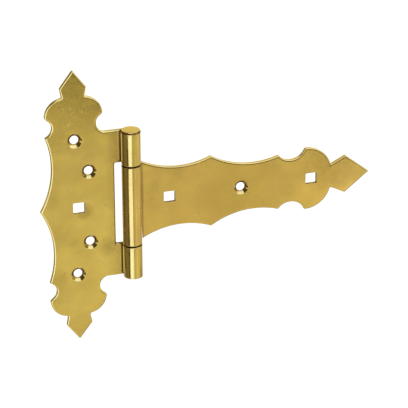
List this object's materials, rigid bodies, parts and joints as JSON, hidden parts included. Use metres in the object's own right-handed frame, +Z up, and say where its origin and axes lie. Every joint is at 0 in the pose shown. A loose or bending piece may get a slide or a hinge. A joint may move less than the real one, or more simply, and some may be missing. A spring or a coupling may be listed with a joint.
{
  "type": "decorative gate hinge",
  "caption": "Decorative T-shaped gate hinge in polished brass, with a scalloped frame leaf, a tapering strap ending in a diamond point, rolled knuckles and a headed pin.",
  "frame": {"origin": "on the pin's axis, halfway up the three knuckles", "axes": "+X along the strap to its tip, +Y towards the timber that the leaves lie on, +Z up along the pin"},
  "size_m": [0.204, 0.0116, 0.17],
  "materials": {
    "brass": "polished"
  },
  "bodies": {
    "frame": {"frame_leaf": "brass", "hinge_pin": "brass"},
    "strap": {"strap_leaf": "brass"}
  },
  "joints": [
    {"name": "strap_swing", "type": "hinge", "parent": "frame", "child": "strap", "pos_m": [0, 0, 0], "axis": [0, 0, 1], "range_deg": [-185, 112]}
  ]
}
